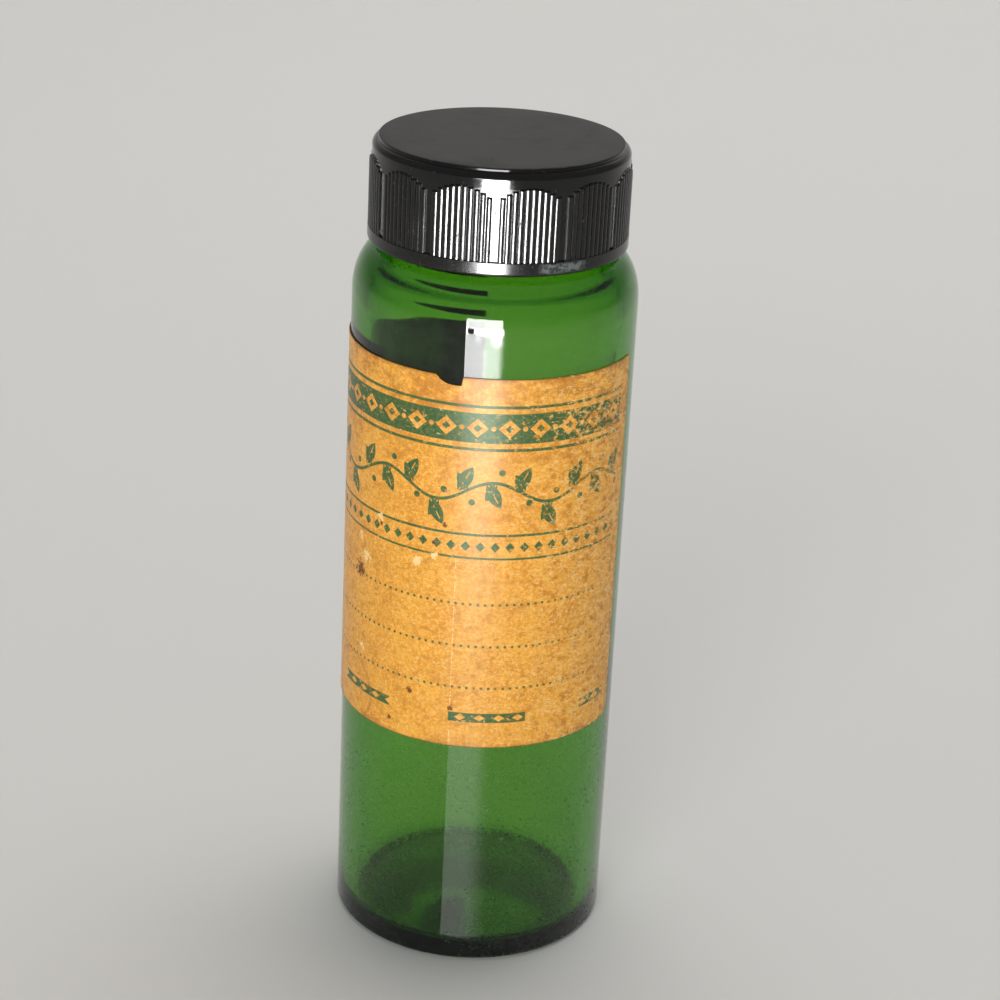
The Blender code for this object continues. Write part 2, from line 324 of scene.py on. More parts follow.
def ring_bulge(height):
    """The soft rings that the blowing left inside the shoulder."""
    bulge = 0
    for ring_height, rise, width in SHOULDER_RINGS:
        bulge += rise * exp(-(((height - ring_height) / width) ** 2))
    return bulge


def wall_wave(angle, height):
    """The inner wall's slow unevenness, as blown glass has."""
    right = sin(angle) * WALL_WAVES_ACROSS
    front = cos(angle) * WALL_WAVES_ACROSS
    return WALL_WAVE * noise.noise(Vector((right, front, height / WALL_WAVE_LENGTH)))


def stipple(row, column):
    """The height of the fine knurling moulded in the ring that the bottle stands on."""
    jitter = noise.random()
    return STIPPLE_DEPTH * ((row + column) % 2) * (STIPPLE_LEAST_SHARE + (1 - STIPPLE_LEAST_SHARE) * jitter)


def build_glass():
    noise.seed_set(STIPPLE_SEED)
    angles = glass_angles()
    inside = BODY_RADIUS - GLASS_WALL
    bore = NECK_RADIUS - NECK_WALL
    rest_outer = BODY_RADIUS - HEEL_RADIUS
    rest_inner = rest_outer - REST_RING_WIDTH
    floor_radius = inside - INNER_HEEL_RADIUS
    inner_shoulder = BODY_HEIGHT - INNER_SHOULDER_DROP
    rings = [[(0, 0, PUSH_UP_HEIGHT)]]

    def turn(profile, uneven=seam_rise):
        for radius, height in profile:
            rings.append([around(radius + uneven(angle, height), angle, height) for angle in angles])

    # Underside, from the middle out
    for i in range(1, DOME_ROWS):
        share = i / DOME_ROWS
        height = PUSH_UP_HEIGHT * (1 - share**2)
        rings.append(level_ring(rest_inner * share, height, angles))
    for row in range(STIPPLE_ROWS):
        radius = rest_inner + REST_RING_WIDTH * row / (STIPPLE_ROWS - 1)
        rings.append([around(radius, angle, stipple(row, column)) for column, angle in enumerate(angles)])
    # Outside, from the heel up
    turn(arc((rest_outer, HEEL_RADIUS), HEEL_RADIUS, -1, 0, steps=7)[1:])
    turn(run((BODY_RADIUS, HEEL_RADIUS), (BODY_RADIUS, BODY_HEIGHT), steps=26))
    foot = NECK_RADIUS + NECK_FILLET
    shoulder_radii = (BODY_RADIUS - NECK_RADIUS - NECK_FILLET, SHOULDER_RISE)
    turn(arc((foot, BODY_HEIGHT), shoulder_radii, 0, 1, steps=16)[1:])
    neck_foot = SHOULDER_TOP + NECK_FILLET
    turn(arc((foot, neck_foot), NECK_FILLET, -1, -2, steps=4)[1:])
    lip_low = LIP_HEIGHT - LIP_ROUND
    for i in range(1, NECK_ROWS):
        height = neck_foot + (lip_low - neck_foot) * i / NECK_ROWS
        rings.append([around(NECK_RADIUS + thread_rise(angle, height), angle, height) for angle in angles])
    turn(arc((NECK_RADIUS - LIP_ROUND, lip_low), LIP_ROUND, 0, 1, steps=5))
    turn(arc((bore + LIP_ROUND, lip_low), LIP_ROUND, 1, 2, steps=5))
    # Inside, from the lip down
    turn(run((bore, lip_low), (bore, inner_shoulder + SHOULDER_RISE), steps=5), wall_wave)
    inner_radii = (inside - bore, SHOULDER_RISE)
    shoulder = arc((bore, inner_shoulder), inner_radii, 1, 0, steps=60)[1:]
    turn([(radius - ring_bulge(height), height) for radius, height in shoulder], wall_wave)
    heel_height = BASE_THICKNESS + INNER_HEEL_RADIUS
    turn(run((inside, inner_shoulder), (inside, heel_height), steps=34), wall_wave)
    turn(arc((floor_radius, heel_height), INNER_HEEL_RADIUS, 0, -1, steps=9)[1:], wall_wave)
    for i in range(DOME_ROWS - 1, 0, -1):
        share = i / DOME_ROWS
        height = BASE_THICKNESS + INNER_DOME_HEIGHT * (1 - share**2)
        rings.append(level_ring(floor_radius * share, height, angles))
    rings.append([(0, 0, BASE_THICKNESS + INNER_DOME_HEIGHT)])
    piece = mesh_piece(
        "green_glass_bottle", *polar_skin(rings), "bottle", "green_glass", "glass_bottle", GLASS_SHARP_ANGLE
    )
    piece.data.materials.append(glass_material())


# Paper label


def notch_depth(place):
    """How deep the torn notch is at a place along the paper."""
    share = (place - (NOTCH_RIGHT_REACH - NOTCH_WIDTH)) / NOTCH_WIDTH
    if not 0 < share < 1:
        return 0
    for (left, above), (right, below) in zip(NOTCH_OUTLINE_SHARES, NOTCH_OUTLINE_SHARES[1:]):
        if left <= share <= right:
            return NOTCH_DEPTH * (above + (below - above) * (share - left) / (right - left))
    return 0


def ragged(place, seed):
    """A paper edge's fine unevenness."""
    coarse = noise.noise(Vector((place / TEAR_LENGTH, seed, 0)))
    fine = noise.noise(Vector((place / FINE_TEAR_LENGTH, seed, FINE_TEAR_SEED)))
    return TEAR_DEPTH * (coarse + 0.5 * fine) * 0.5


def label_places():
    """Columns along the paper, from its left end to its right, measured from the front line."""
    right = LABEL_WIDTH * LABEL_RIGHT_SHARE
    left = right - LABEL_WIDTH
    count = round(LABEL_WIDTH / LABEL_CELL)
    places = [left + LABEL_WIDTH * i / count for i in range(count + 1)]
    notch_left = NOTCH_RIGHT_REACH - NOTCH_WIDTH
    places += [notch_left + NOTCH_WIDTH * across for across, _ in NOTCH_OUTLINE_SHARES]
    places += [right - LABEL_CORNER * step / CORNER_STEPS for step in range(1, CORNER_STEPS)]
    return sorted(set(places))


def build_label():
    places = label_places()
    left = places[0]
    right = places[-1]
    rows = round(LABEL_HEIGHT / LABEL_CELL)
    verts = []
    for depth in (0, LABEL_THICKNESS):
        for place in places:
            corner = smooth_step((place - (right - LABEL_CORNER)) / LABEL_CORNER) * LABEL_CORNER
            low = LABEL_BOTTOM + corner + abs(ragged(place, LOW_EDGE_SEED))
            high = LABEL_TOP - notch_depth(place) - abs(ragged(place, HIGH_EDGE_SEED))
            for row in range(rows + 1):
                height = low + (high - low) * row / rows
                edge = min(right - place, place - left, height - low, high - height)
                lift = EDGE_LIFT * (1 - smooth_step(edge / EDGE_LIFT_REACH))
                wrinkle_place = Vector((place / WRINKLE_WIDTH, height / WRINKLE_HEIGHT, WRINKLE_SEED))
                wrinkle = WRINKLE_DEPTH * noise.noise(wrinkle_place)
                lift_place = Vector((place / EDGE_LIFT_PATCH, height / EDGE_LIFT_PATCH, EDGE_LIFT_SEED))
                lift *= 0.5 + 0.5 * noise.noise(lift_place)
                radius = LABEL_RADIUS + depth + max(0, lift) + wrinkle
                verts.append(around(radius, place / LABEL_RADIUS, height))
    stride = rows + 1
    sheet = len(places) * stride
    faces = []
    for i in range(len(places) - 1):
        for row in range(rows):
            a = i * stride + row
            faces.append((a, a + 1, a + stride + 1, a + stride))
            b = a + sheet
            faces.append((b, b + stride, b + stride + 1, b + 1))
        low = i * stride
        high = low + rows
        faces.append((low, low + stride, low + stride + sheet, low + sheet))
        faces.append((high, high + sheet, high + stride + sheet, high + stride))
    end = (len(places) - 1) * stride
    for row in range(rows):
        faces.append((row, row + sheet, row + 1 + sheet, row + 1))
        faces.append((end + row, end + row + 1, end + row + 1 + sheet, end + row + sheet))
    piece = mesh_piece("orange_paper_label", verts, faces, "bottle", "label_paper", "paper_label")
    piece.data.materials.append(paper_material())
    piece.data.materials.append(paper_back_material())
    for face in piece.data.polygons:
        if face.normal.x * face.center.x + face.normal.y * face.center.y < 0:
            face.material_index = 1


# Cap


def cap_columns():
    """Columns round the cap as (angle, how far a rib stands proud there, height of that rib's top)."""
    panel_turn = TURN / PANELS
    rib_turn = panel_turn * (1 - LAND_SHARE) / (RIBS_PER_PANEL - 1)
    middle = (RIBS_PER_PANEL - 1) / 2
    half = rib_turn * RIB_WIDTH_SHARE / 2
    columns = []
    for panel in range(PANELS):
        panel_angle = FIRST_LAND_ANGLE + panel_turn * (panel + 0.5)
        for rib in range(RIBS_PER_PANEL):
            side_share = (rib - middle) / middle
            top = CAP_TOP - RIB_TOP_DROP - RIB_ARCH_DROP * side_share**2
            angle = panel_angle + rib_turn * (rib - middle)
            columns.append((angle - half * RIB_FOOT_SHARE, 0, top))
            for step in RIB_COLUMN_SHARES:
                stand = RIB_SIDE_HEIGHT + (RIB_PROUD - RIB_SIDE_HEIGHT) * (1 - step * step)
                columns.append((angle + half * step, stand, top))
            columns.append((angle + half * RIB_FOOT_SHARE, 0, top))
        edge = angle + half * RIB_FOOT_SHARE
        gap = panel_turn - 2 * (middle * rib_turn + half * RIB_FOOT_SHARE)
        for step in LAND_COLUMN_SHARES:
            columns.append((edge + gap * step, 0, top))
    return columns


def build_cap():
    columns = cap_columns()
    disc_radius = CAP_RADIUS - DISC_INSET
    band_radius = CAP_RADIUS + BAND_PROUD
    band_top = RIM_HEIGHT + BAND_HEIGHT
    rings = [[(0, 0, CAP_TOP)]]

    def turn(profile):
        for radius, height in profile:
            rings.append([around(radius, angle, height) for angle, _, _ in columns])

    flat_radius = disc_radius - DISC_EDGE
    turn(run((0, CAP_TOP), (flat_radius, CAP_TOP), steps=6))
    turn(arc((flat_radius, CAP_TOP - DISC_EDGE), DISC_EDGE, 1, 0, steps=7)[1:])
    # The disc's side leans out a little and ends in a fillet, from which the cap's edge bends down
    foot = disc_radius + DISC_DRAFT
    ledge = CAP_TOP - DISC_STEP
    side_top = CAP_TOP - (1 + DISC_SIDE_START_SHARE) * DISC_EDGE
    turn([(disc_radius + DISC_SIDE_START_SHARE * DISC_DRAFT, side_top), (foot, ledge + DISC_FILLET)])
    fillet_centre = (foot + DISC_FILLET, ledge + DISC_FILLET)
    turn(arc(fillet_centre, DISC_FILLET, 2, 3, steps=5)[1:])
    wall_height = CAP_TOP - WALL_DROP
    edge_inner = foot + DISC_FILLET
    for i in range(1, CAP_EDGE_ROWS + 1):
        bend = QUARTER_TURN * i / CAP_EDGE_ROWS
        across = sin(bend) ** CAP_EDGE_POWER
        up = abs(cos(bend)) ** CAP_EDGE_POWER
        turn([(edge_inner + (CAP_RADIUS - edge_inner) * across, wall_height + (ledge - wall_height) * up)])
    turn([(CAP_RADIUS, wall_height - SHADING_STEP)])
    # Grip, whose ribs round over at the top
    for i in range(RIB_END_ROWS + 1):
        lean = QUARTER_TURN * i / RIB_END_ROWS
        ring = []
        for angle, stand, top in columns:
            height = top - RIB_END_ROUND * (1 - cos(lean))
            ring.append(around(CAP_RADIUS + stand * sin(lean), angle, height))
        rings.append(ring)
    for share in RIB_ROW_SHARES:
        ring = []
        for angle, stand, top in columns:
            start = top - RIB_END_ROUND
            height = start + (band_top - start) * share
            ring.append(around(CAP_RADIUS + stand, angle, height))
        rings.append(ring)
    # Lower band, rim and inside
    band_edge_centre = (band_radius - BAND_EDGE, band_top - BAND_EDGE)
    turn(arc(band_edge_centre, BAND_EDGE, 1, 0, steps=4))
    turn([(band_radius, band_top - BAND_EDGE - SHADING_STEP)])
    turn([(band_radius, RIM_HEIGHT + RIM_ROUND + SHADING_STEP)])
    rim_centre = (band_radius - RIM_ROUND, RIM_HEIGHT + RIM_ROUND)
    turn(arc(rim_centre, RIM_ROUND, 0, -1, steps=6))
    turn([(CAP_INNER_RADIUS + INNER_RIM_BEVEL, RIM_HEIGHT)])
    turn([(CAP_INNER_RADIUS, RIM_HEIGHT + INNER_RIM_BEVEL)])
    turn([(CAP_INNER_RADIUS, CAP_CEILING)])
    turn(run((CAP_INNER_RADIUS, CAP_CEILING), (0, CAP_CEILING), steps=4)[:-1])
    rings.append([(0, 0, CAP_CEILING)])
    piece = mesh_piece("black_ribbed_cap", *polar_skin(rings), "cap", "black_plastic", "cap_shell")
    piece.data.materials.append(plastic_material())
    return piece


def build_cap_thread(cap):
    """The female thread, a rounded ridge rooted in the cap's wall."""
    top = LIP_HEIGHT - THREAD_TOP_DROP - THREAD_BASE_WIDTH / 2
    bearing_drop = (THREAD_BASE_WIDTH + CAP_THREAD_CREST_WIDTH) / 2 + THREAD_CLEARANCE
    bottom = top - THREAD_PITCH * THREAD_TURNS - bearing_drop
    lowest = RIM_HEIGHT + CAP_THREAD_RIM_GAP + CAP_THREAD_BASE_WIDTH / 2
    start = TURN * (lowest - bottom) / THREAD_PITCH
    steps = CAP_THREAD_STEPS
    points = CAP_THREAD_POINTS
    verts = []
    for i in range(steps + 1):
        along = TURN * CAP_THREAD_TURNS * i / steps
        fade = smooth_step(min(along, TURN * CAP_THREAD_TURNS - along) / THREAD_RUN_OUT)
        height = lowest + THREAD_PITCH * along / TURN
        for k in range(points):
            across = -1 + 2 * k / (points - 1)
            bulge = cos(across * QUARTER_TURN) ** CAP_THREAD_POWER if abs(across) < 1 else 0
            radius = CAP_INNER_RADIUS + CAP_THREAD_ROOT - (THREAD_DEPTH + CAP_THREAD_ROOT) * bulge * fade
            verts.append(around(radius, start + along, height + across * CAP_THREAD_BASE_WIDTH / 2))
    faces = []
    for i in range(steps):
        for k in range(points):
            a = i * points + k
            b = i * points + (k + 1) % points
            faces.append((a, b, b + points, a + points))
    last = steps * points
    faces.append(tuple(range(points)))
    faces.append(tuple(reversed(range(last, last + points))))
    piece = mesh_piece("cap_inner_thread", verts, faces, "cap", "black_plastic", None)
    piece.data.materials.append(cap.data.materials[0])


# Liner


def liner_angles():
    return [TURN * i / LINER_COLUMNS for i in range(LINER_COLUMNS)]


def build_facing():
    """The waxed disc, with the shallow ring that the lip has pressed in it."""
    ring_radius = NECK_RADIUS - NECK_WALL / 2
    angles = liner_angles()
    rings = [[(0, 0, facing_low.z)]]
    for i in range(1, FACING_ROWS):
        radius = LINER_RADIUS * i / FACING_ROWS
        across = (radius - ring_radius) / (NECK_WALL / 2)
        press = FACING_DENT * exp(-across * across)
        rings.append(level_ring(radius, facing_low.z + press, angles))
    middle = (facing_low.z + facing_high.z) / 2
    half = (facing_high.z - facing_low.z) / 2
    edge_centre = (LINER_RADIUS - half, middle)
    for radius, height in arc(edge_centre, half, -1, 1, steps=6):
        rings.append(level_ring(radius, height, angles))
    rings.append([(0, 0, facing_high.z)])
    piece = mesh_piece("waxed_liner_facing", *polar_skin(rings), "liner", "waxed_paper", "liner_facing")
    piece.data.materials.append(waxed_material())


def build_backing():
    """The pulpboard disc, with soft die-cut edges."""
    rings = [[(0, 0, backing_low.z)]]
    profile = [(LINER_RADIUS * i / BACKING_ROWS, backing_low.z) for i in range(1, BACKING_ROWS)]
    edge_radius = LINER_RADIUS - BACKING_EDGE
    low_centre = (edge_radius, backing_low.z + BACKING_EDGE)
    high_centre = (edge_radius, backing_high.z - BACKING_EDGE)
    profile += arc(low_centre, BACKING_EDGE, -1, 0, steps=3)
    profile += arc(high_centre, BACKING_EDGE, 0, 1, steps=3)
    for radius, height in profile:
        ring = []
        for angle in liner_angles():
            rough = BACKING_ROUGHNESS * noise.noise(Vector(around(radius / MM, angle, height / MM)))
            ring.append(around(radius - abs(rough), angle, height))
        rings.append(ring)
    rings.append([(0, 0, backing_high.z)])
    piece = mesh_piece("pulpboard_liner_backing", *polar_skin(rings), "liner", "pulpboard", "liner_backing")
    piece.data.materials.append(pulpboard_material())


# Materials


def step(operation, swapped=False):
    """A method that adds one step of arithmetic to a wire's graph."""

    def method(wire, other):
        values = (other, wire) if swapped else (wire, other)
        return wire.graph.math(operation, *values)

    return method


class Wire:
    """A shader value that can be written in a formula."""

    def __init__(self, graph, socket):
        self.graph = graph
        self.socket = socket

    __add__ = step("ADD")
    __radd__ = step("ADD", swapped=True)
    __sub__ = step("SUBTRACT")
    __rsub__ = step("SUBTRACT", swapped=True)
    __mul__ = step("MULTIPLY")
    __rmul__ = step("MULTIPLY", swapped=True)
    __truediv__ = step("DIVIDE")

    def __neg__(self):
        return self.graph.math("MULTIPLY", self, -1)

    def __abs__(self):
        return self.graph.math("ABSOLUTE", self)


class Graph:
    """A node tree, built by short calls."""

    def __init__(self, tree):
        self.tree = tree

    def feed(self, socket, value):
        if isinstance(value, Wire):
            self.tree.links.new(value.socket, socket)
        elif hasattr(socket.default_value, "__len__") and not hasattr(value, "__len__"):
            socket.default_value = (value,) * len(socket.default_value)
        elif socket.type == "RGBA" and len(value) == 3:
            socket.default_value = (*value, 1)
        else:
            socket.default_value = value

    def node(self, kind, output=0, inputs=None, **settings):
        node = self.tree.nodes.new(kind)
        for name, value in settings.items():
            setattr(node, name, value)
        for name, value in (inputs or {}).items():
            self.feed(node.inputs[name], value)
        return Wire(self, node.outputs[output])

    def math(self, operation, *values):
        node = self.tree.nodes.new("ShaderNodeMath")
        node.operation = operation
        for socket, value in zip(node.inputs, values):
            self.feed(socket, value)
        return Wire(self, node.outputs[0])

    def greatest(self, *values):
        return functools.reduce(lambda first, second: self.math("MAXIMUM", first, second), values)

    def least(self, *values):
        return functools.reduce(lambda first, second: self.math("MINIMUM", first, second), values)

    def length(self, u, v):
        return self.math("SQRT", u * u + v * v)

    def ramp(self, value, low, high):
        """0 at low, 1 at high, with an even curve between. The two may run either way."""
        return self.node(
            "ShaderNodeMapRange",
            interpolation_type="SMOOTHSTEP",
            inputs={"Value": value, "From Min": low, "From Max": high},
        )

    def noise(self, place, scale, detail=4.0, roughness=0.55, distortion=0.0):
        inputs = {"Vector": place, "Scale": scale, "Detail": detail}
        inputs.update({"Roughness": roughness, "Distortion": distortion})
        return self.node("ShaderNodeTexNoise", inputs=inputs)

    def mix(self, share, first, second):
        node = self.tree.nodes.new("ShaderNodeMix")
        node.data_type = "RGBA"
        self.feed(node.inputs[0], share)
        self.feed(node.inputs[6], first)
        self.feed(node.inputs[7], second)
        return Wire(self, node.outputs[2])

    def place(self):
        return self.node("ShaderNodeTexCoord", output="Object")

    def split(self, vector):
        node = self.tree.nodes.new("ShaderNodeSeparateXYZ")
        self.feed(node.inputs[0], vector)
        return [Wire(self, socket) for socket in node.outputs]

    def join(self, x, y, z):
        return self.node("ShaderNodeCombineXYZ", inputs={"X": x, "Y": y, "Z": z})


class Surface(Graph):
    """One material, with its Principled shader."""

    def __init__(self, name):
        self.material = bpy.data.materials.new(name)
        self.material.use_nodes = True
        super().__init__(self.material.node_tree)
        self.tree.nodes.clear()
        self.output = self.tree.nodes.new("ShaderNodeOutputMaterial")
        self.shader = self.tree.nodes.new("ShaderNodeBsdfPrincipled")
        self.tree.links.new(self.shader.outputs[0], self.output.inputs["Surface"])

    def set(self, **inputs):
        for name, value in inputs.items():
            self.feed(self.shader.inputs[name.replace("_", " ")], value)

    def bump(self, height, distance, strength):
        normal = self.node(
            "ShaderNodeBump", inputs={"Height": height, "Distance": distance, "Strength": strength}
        )
        self.feed(self.shader.inputs["Normal"], normal)


# Glass: where it is worn, measured from the label's lower edge and down from the cap's rim
WORN_START = 6 * MM
WORN_FULL = -4 * MM
COLLAR_START = 1.6 * MM
COLLAR_FULL = 0.4 * MM
GLASS_BUMP = 0.01 * MM
GLASS_IOR = 1.52
ABSORPTION_COLOUR = (0.42, 0.75, 0.0, 1)
ABSORPTION_DENSITY = 800


def glass_material():
    """Green bottle glass: clear and glossy, with handling haze, fine dust and a few scratches."""
    graph = Surface("green_glass")
    place = graph.place()
    x, y, z = graph.split(place)
    below = graph.ramp(z, LABEL_BOTTOM + WORN_START, LABEL_BOTTOM + WORN_FULL)
    collar = graph.ramp(z, RIM_HEIGHT - COLLAR_START, RIM_HEIGHT - COLLAR_FULL)
    worn = graph.greatest(below, collar)
    haze = graph.ramp(graph.noise(place, 70.0), 0.42, 0.75)
    grain = graph.noise(place, 2200.0, roughness=0.7)
    specks = graph.ramp(graph.noise(place, 2600.0, detail=2.0), 0.60, 0.67)
    smudges = graph.ramp(graph.noise(place, 650.0, detail=5.0, roughness=0.75), 0.49, 0.58)
    streaks = graph.ramp(graph.noise(graph.join(x * 900, y * 900, z * 130), 1.0, detail=2.0), 0.66, 0.74)
    patches = graph.ramp(graph.noise(place, 160.0, detail=3.0), 0.36, 0.6)
    dirt = graph.greatest(specks, streaks * 0.7) * patches * (0.35 + 0.65 * worn)
    graph.set(Base_Color=(1, 1, 1), Metallic=0, IOR=GLASS_IOR, Transmission_Weight=1)
    scuff = worn * graph.ramp(grain, 0.42, 0.62) * 0.09
    graph.set(Roughness=0.012 + haze * 0.03 + smudges * (0.07 - 0.03 * below) + scuff + dirt * 0.34)
    graph.bump(graph.noise(place, 260.0, detail=1.0) + dirt * 0.5, GLASS_BUMP, 0.5)
    absorb = graph.tree.nodes.new("ShaderNodeVolumeAbsorption")
    absorb.inputs["Color"].default_value = ABSORPTION_COLOUR
    absorb.inputs["Density"].default_value = ABSORPTION_DENSITY
    graph.tree.links.new(absorb.outputs[0], graph.output.inputs["Volume"])
    return graph.material


# Print: sizes and places in mm, across from the paper's middle and up from its lower edge
INK_SOFTNESS = 0.035
PRINT_MARGIN = 2.0
BAND = (38.6, 42.2)
BAND_MIDDLE = 40.4
BAND_RULES = ((42.8, 43.15), (37.65, 38.0))
LOZENGE_PITCH = 3.6
LOZENGE_HALVES = (1.25, 1.15)  # half its width and half its height
LOZENGE_EYE_HALVES = (0.5, 0.46)
BAND_DOT_RADIUS = 0.3
STEM_HEIGHT = 32.6
STEM_SWING = 1.25
STEM_WAVE = 13.2
STEM_HALF_WIDTH = 0.2
LEAF_PITCH = 3.3
LEAVES = (  # lean in degrees, length, half breadth, and place of the foot along the stem
    (62, 3.5, 0.78, -0.75),
    (118, 2.6, 0.55, 0.35),
)
VEIN_HALF_WIDTH = 0.07
VEIN_SHARE = 0.8
BERRY_PLACE = (0.9, -1.25)
BERRY_RADIUS = 0.38
LOW_RULES = ((27.2, 27.5), (24.3, 24.55))
DIAMOND_PITCH = 1.7
DIAMOND_HALVES = (0.55, 0.62)
DIAMOND_HEIGHT = 25.88
LINE_HEIGHTS = (18.6, 13.2, 7.8)
LINE_DOT_PITCH = 0.85
LINE_DOT_RADIUS = 0.17
LINE_MARGIN = 5.0
FOOT_BAND = (3.3, 4.5)
FOOT_PITCH = 17.0
FOOT_HALF_WIDTH = 4.6
FOOT_EYE_PITCH = 2.3
FOOT_EYE_HALVES = (0.7, 0.42)
FOOT_EYE_HEIGHT = 3.9


def inside(graph, distance):
    """1 where the distance is above 0, with a slightly soft edge."""
    return graph.ramp(distance, -INK_SOFTNESS, INK_SOFTNESS)


def between(graph, value, low, high):
    return inside(graph, graph.least(value - low, high - value))


def repeat(graph, value, pitch):
    """The place within its cell, from the cell's middle."""
    return graph.math("WRAP", value, pitch / 2, -pitch / 2)


def lozenge(graph, u, v, halves):
    return inside(graph, 1 - abs(u) / halves[0] - abs(v) / halves[1])


def disc(graph, u, v, radius):
    return inside(graph, radius - graph.length(u, v))


def lozenge_band(graph, p, q):
    """A solid band between two rules, with lozenges and dots left bare."""
    across = repeat(graph, p, LOZENGE_PITCH)
    up = q - BAND_MIDDLE
    eye = lozenge(graph, across, up, LOZENGE_EYE_HALVES)
    dot = disc(graph, repeat(graph, p + LOZENGE_PITCH / 2, LOZENGE_PITCH), up, BAND_DOT_RADIUS)
    bare = graph.greatest(lozenge(graph, across, up, LOZENGE_HALVES), dot)
    band = graph.least(between(graph, q, *BAND), 1 - graph.least(bare, 1 - eye))
    return graph.greatest(band, *[between(graph, q, *rule) for rule in BAND_RULES])


def leafy_stem(graph, p, q):
    """A waving stem, with two leaves and a berry in each cell, on either side by turns."""
    stem_height = STEM_HEIGHT + STEM_SWING * graph.math("SINE", p * (TURN / STEM_WAVE))
    stem = inside(graph, STEM_HALF_WIDTH - abs(q - stem_height))
    cell = graph.math("FLOOR", (p + LEAF_PITCH / 2) / LEAF_PITCH)
    side = 1 - 2 * graph.math("MODULO", abs(cell), 2)
    cell_height = STEM_HEIGHT + STEM_SWING * graph.math("SINE", cell * LEAF_PITCH * (TURN / STEM_WAVE))
    u = repeat(graph, p, LEAF_PITCH)
    v = (q - cell_height) * side
    leaves = []
    for lean, length, half_breadth, foot in LEAVES:
        across = cos(radians(lean))
        up = sin(radians(lean))
        along = ((u - foot) * across + v * up) / length
        off = v * across - (u - foot) * up
        leaf = inside(graph, 4 * half_breadth * along * (1 - along) - abs(off))
        vein = inside(graph, VEIN_HALF_WIDTH - abs(off)) * inside(graph, VEIN_SHARE - along)
        leaves.append(graph.least(leaf, 1 - vein))
    berry = disc(graph, u - BERRY_PLACE[0], v - BERRY_PLACE[1], BERRY_RADIUS)
    return graph.greatest(stem, *leaves, berry)


def low_rules(graph, p, q):
    """Two rules, with a row of small diamonds between."""
    rules = [between(graph, q, *rule) for rule in LOW_RULES]
    diamonds = lozenge(graph, repeat(graph, p, DIAMOND_PITCH), q - DIAMOND_HEIGHT, DIAMOND_HALVES)
    return graph.greatest(*rules, diamonds)


def writing_lines(graph, p, q):
    """Dotted lines, which stop short of the paper's ends."""
    across = repeat(graph, p, LINE_DOT_PITCH)
    dots = [disc(graph, across, q - height, LINE_DOT_RADIUS) for height in LINE_HEIGHTS]
    reach = LABEL_WIDTH / MM / 2 - LINE_MARGIN
    return graph.greatest(*dots) * between(graph, p, -reach, reach)


def foot_ornament(graph, p, q):
    """Short bars with a row of small lozenges left bare in them."""
    bars = inside(graph, FOOT_HALF_WIDTH - abs(repeat(graph, p, FOOT_PITCH)))
    eyes = lozenge(graph, repeat(graph, p, FOOT_EYE_PITCH), q - FOOT_EYE_HEIGHT, FOOT_EYE_HALVES)
    return graph.least(between(graph, q, *FOOT_BAND), bars, 1 - eyes)


def ink_mask(graph, p, q):
    """The whole print, which stops short of the paper's ends."""
    reach = LABEL_WIDTH / MM / 2 - PRINT_MARGIN
    ornaments = [
        ornament(graph, p, q)
        for ornament in (lozenge_band, leafy_stem, low_rules, writing_lines, foot_ornament)
    ]
    return graph.greatest(*ornaments) * between(graph, p, -reach, reach)


# Paper: marks as (place right of the paper's middle, height above its lower edge, radius) in mm
DARK_SPOTS = (
    (-1.4, 19.0, 1.1),
    (11.1, 28.2, 0.35),
    (9.8, 25.8, 0.3),
    (2.5, 26.2, 0.3),
    (7.4, 6.2, 0.4),
    (12.6, 5.0, 0.42),
    (4.6, 1.7, 0.35),
    (-20.5, 12.0, 0.5),
    (-28.0, 33.0, 0.4),
)
PALE_FLAKES = (
    (-0.2, 21.1, 0.75),
    (2.3, 27.0, 0.5),
    (-1.4, 23.4, 0.45),
    (7.9, 23.1, 0.6),
    (9.9, 24.1, 0.45),
    (-0.7, 9.3, 0.45),
    (-17.5, 20.0, 0.5),
)
RING_STAIN = (-3.0, 3.2, 4.4)
WORN_RIGHT = (16.0, 30.0)  # where the wear of the right end starts and is full
PAPER_BUMP = 0.035 * MM
PAPER_BACK_BUMP = 0.02 * MM


